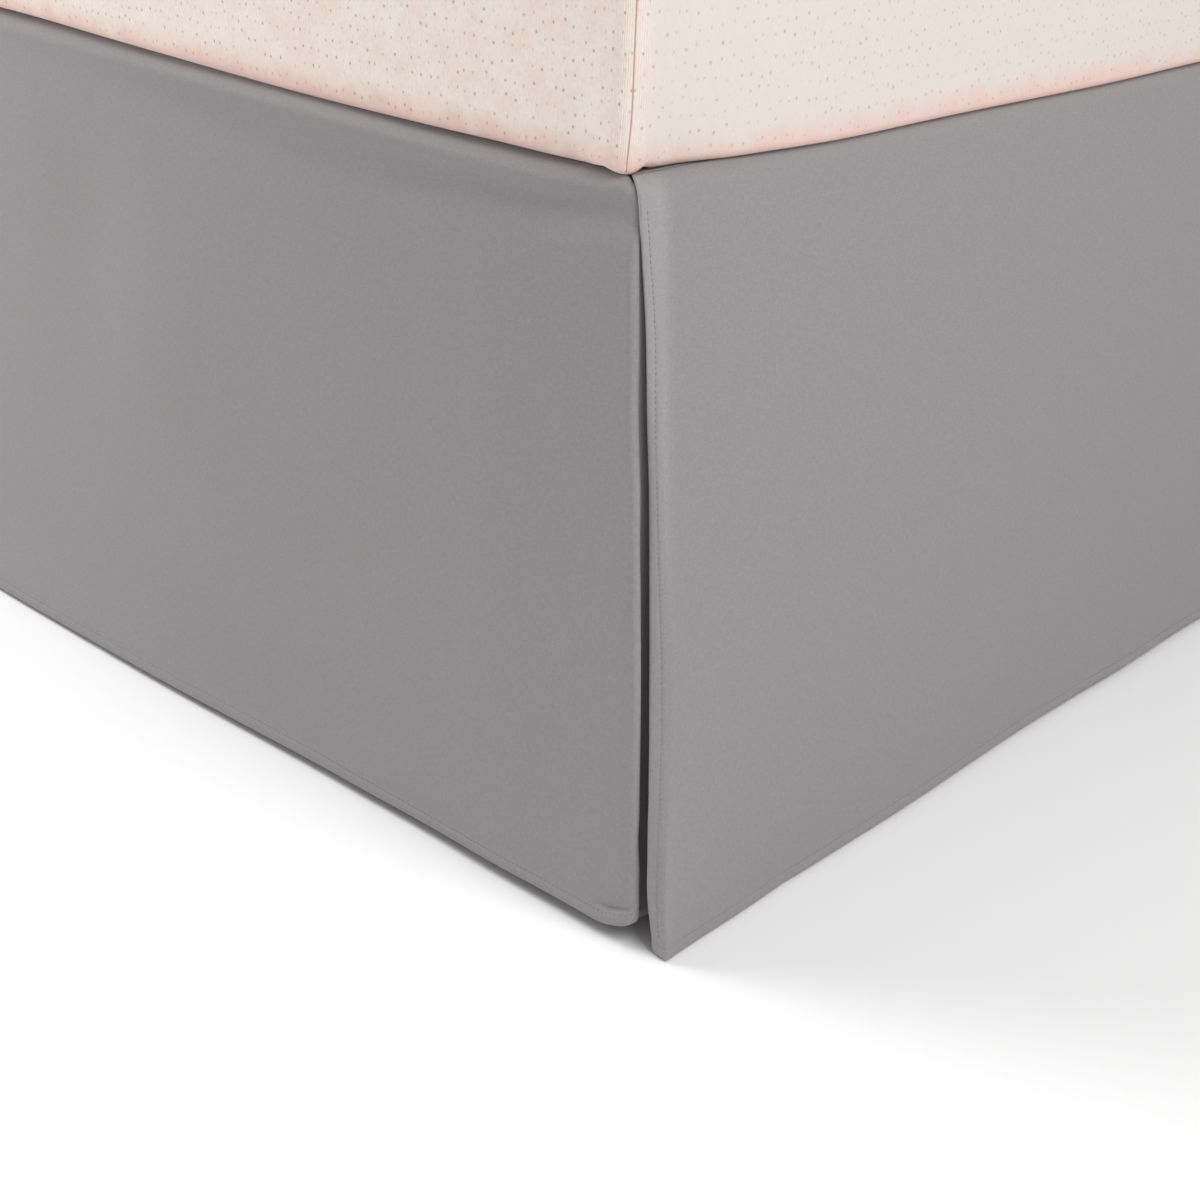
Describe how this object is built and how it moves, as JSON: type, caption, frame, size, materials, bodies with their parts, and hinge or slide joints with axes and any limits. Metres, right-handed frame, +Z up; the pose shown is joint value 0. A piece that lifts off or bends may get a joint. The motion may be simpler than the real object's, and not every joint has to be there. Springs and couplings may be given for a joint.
{
  "type": "bed skirt on bed",
  "caption": "Tailored bed skirt with split foot corners, a platform sheet and three smooth hemmed drops, hung over a plain box spring on a steel frame with its mattress on top.",
  "frame": {"origin": "centre of the bed's outline, on the floor", "axes": "+X to the bed's right seen from the foot end, +Y from the foot end to the open head end, +Z up"},
  "size_m": [1.5458, 2.0559, 0.6368],
  "materials": {
    "skirt_cloth": "fine plain-woven microfibre, mid grey, matt, pressed smooth",
    "deck_cloth": "plain-woven microfibre platform sheet, dyed grey as the drops, matt",
    "mattress_knit": "cream pin-dot mattress knit, soft and matt",
    "box_spring_cover": "plain off-white ticking, matt",
    "frame_steel": "black powder coat",
    "glide_plastic": "black moulded plastic"
  },
  "bodies": {
    "root": {"drop_left": "skirt_cloth", "drop_right": "skirt_cloth", "drop_foot": "skirt_cloth", "deck": "deck_cloth", "mattress": "mattress_knit", "box_spring": "box_spring_cover", "rail_left": "frame_steel", "rail_right": "frame_steel", "rail_foot": "frame_steel", "rail_middle": "frame_steel", "rail_head": "frame_steel", "leg_foot_left": "frame_steel", "leg_foot_centre": "frame_steel", "leg_foot_right": "frame_steel", "leg_middle_left": "frame_steel", "leg_middle_centre": "frame_steel", "leg_middle_right": "frame_steel", "leg_head_left": "frame_steel", "leg_head_centre": "frame_steel", "leg_head_right": "frame_steel", "glide_foot_left": "glide_plastic", "glide_foot_centre": "glide_plastic", "glide_foot_right": "glide_plastic", "glide_middle_left": "glide_plastic", "glide_middle_centre": "glide_plastic", "glide_middle_right": "glide_plastic", "glide_head_left": "glide_plastic", "glide_head_centre": "glide_plastic", "glide_head_right": "glide_plastic"}
  },
  "joints": []
}
